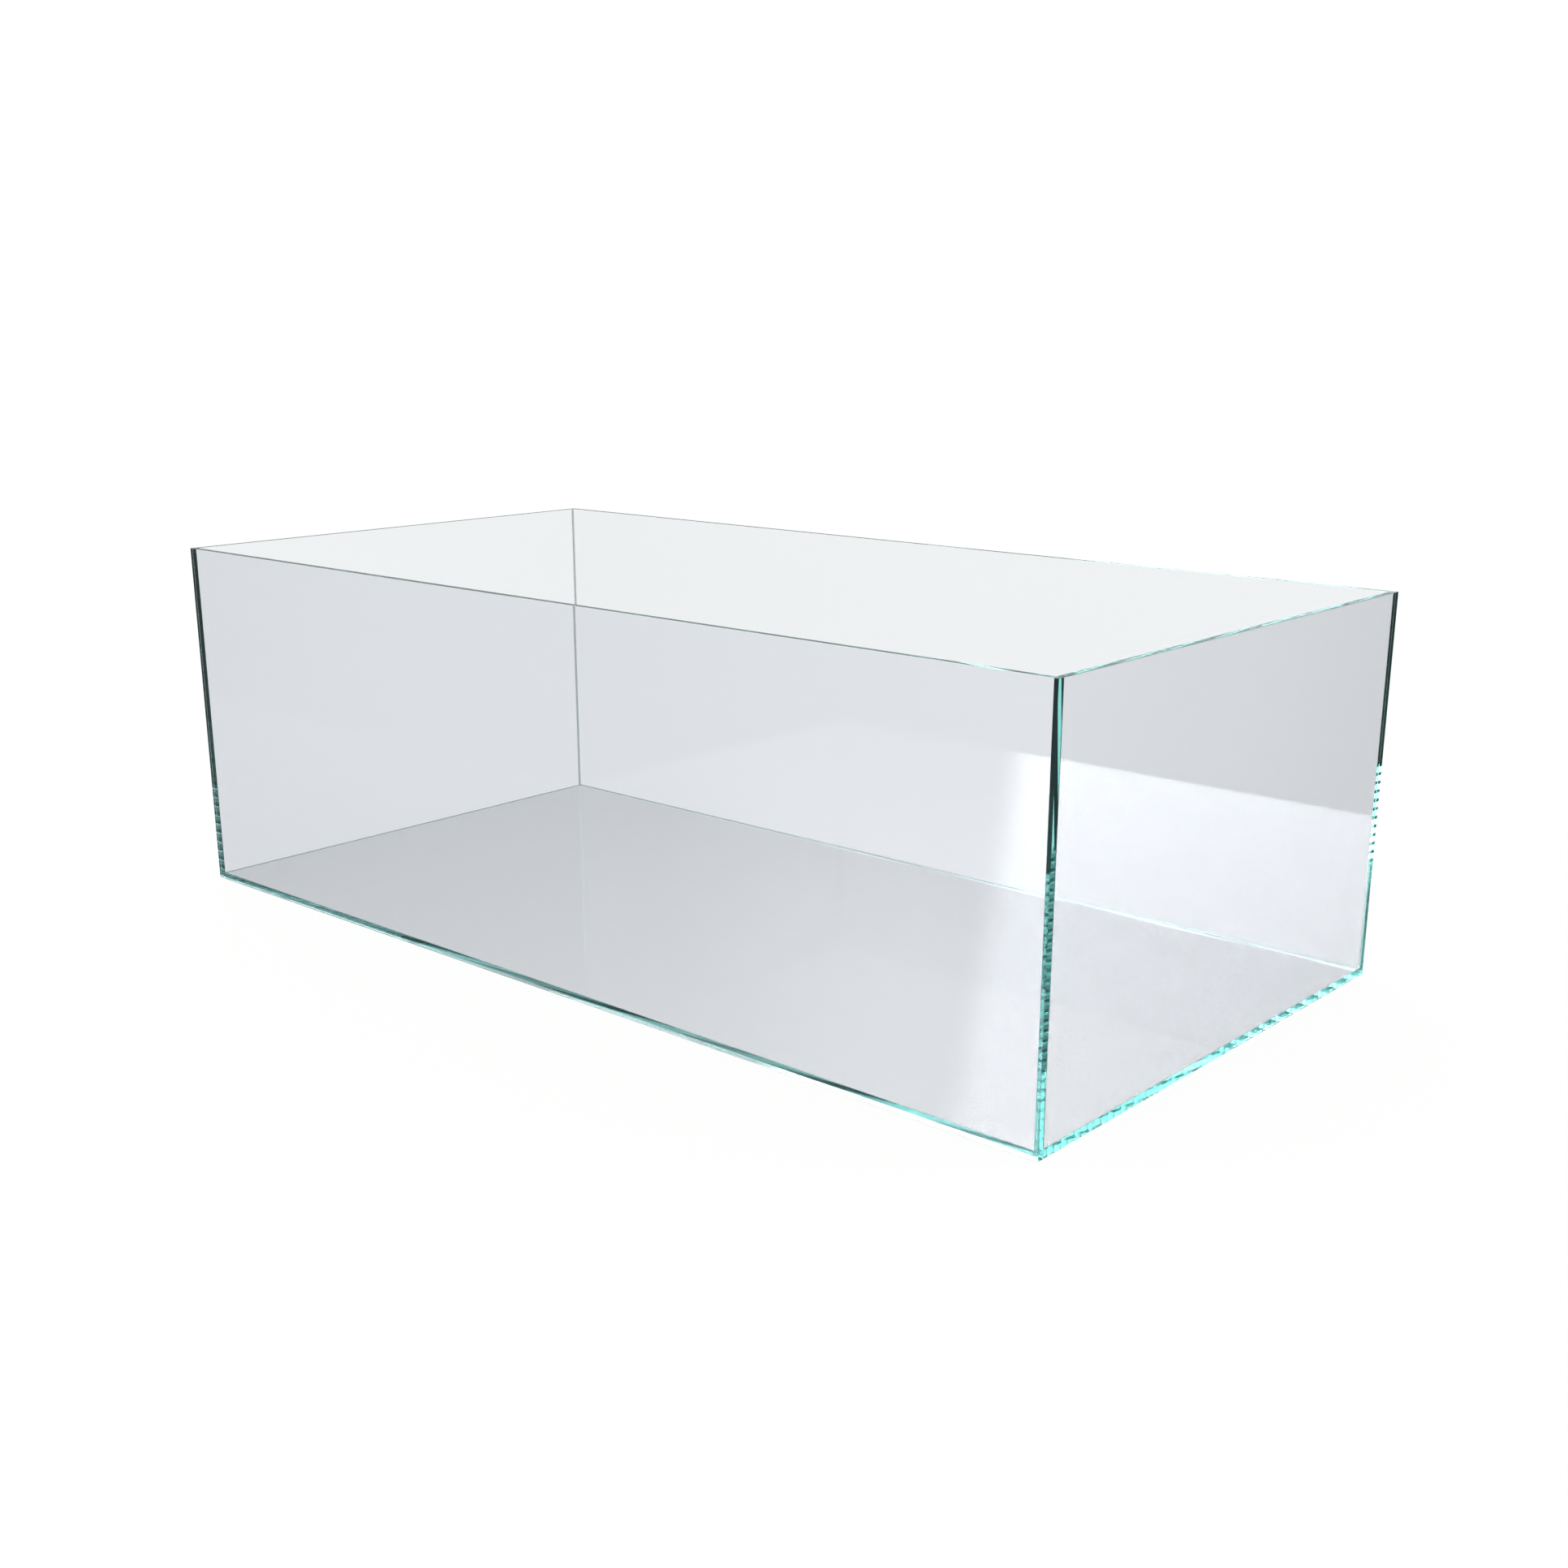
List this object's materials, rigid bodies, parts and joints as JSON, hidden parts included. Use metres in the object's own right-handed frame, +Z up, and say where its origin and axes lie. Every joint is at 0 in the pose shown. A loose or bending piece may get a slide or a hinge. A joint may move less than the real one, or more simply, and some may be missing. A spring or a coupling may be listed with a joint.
{
  "type": "aquarium",
  "caption": "Shallow rimless open-top glass aquarium: a long low box of clear panes edge-glued with clear silicone, its floor pane set between the walls.",
  "frame": {"origin": "centre of the footprint, on the surface the tank stands on", "axes": "+X along the tank's length, +Y from the front pane to the back pane, +Z up"},
  "size_m": [0.9, 0.45, 0.3],
  "materials": {
    "float_glass": "polished",
    "clear_silicone": "translucent, cut flush"
  },
  "bodies": {
    "root": {"back_floor_bond": "clear_silicone", "back_left_corner_bond": "clear_silicone", "back_pane": "float_glass", "back_right_corner_bond": "clear_silicone", "floor_pane": "float_glass", "front_floor_bond": "clear_silicone", "front_left_corner_bond": "clear_silicone", "front_pane": "float_glass", "front_right_corner_bond": "clear_silicone", "left_floor_bond": "clear_silicone", "left_pane": "float_glass", "right_floor_bond": "clear_silicone", "right_pane": "float_glass"}
  },
  "joints": []
}
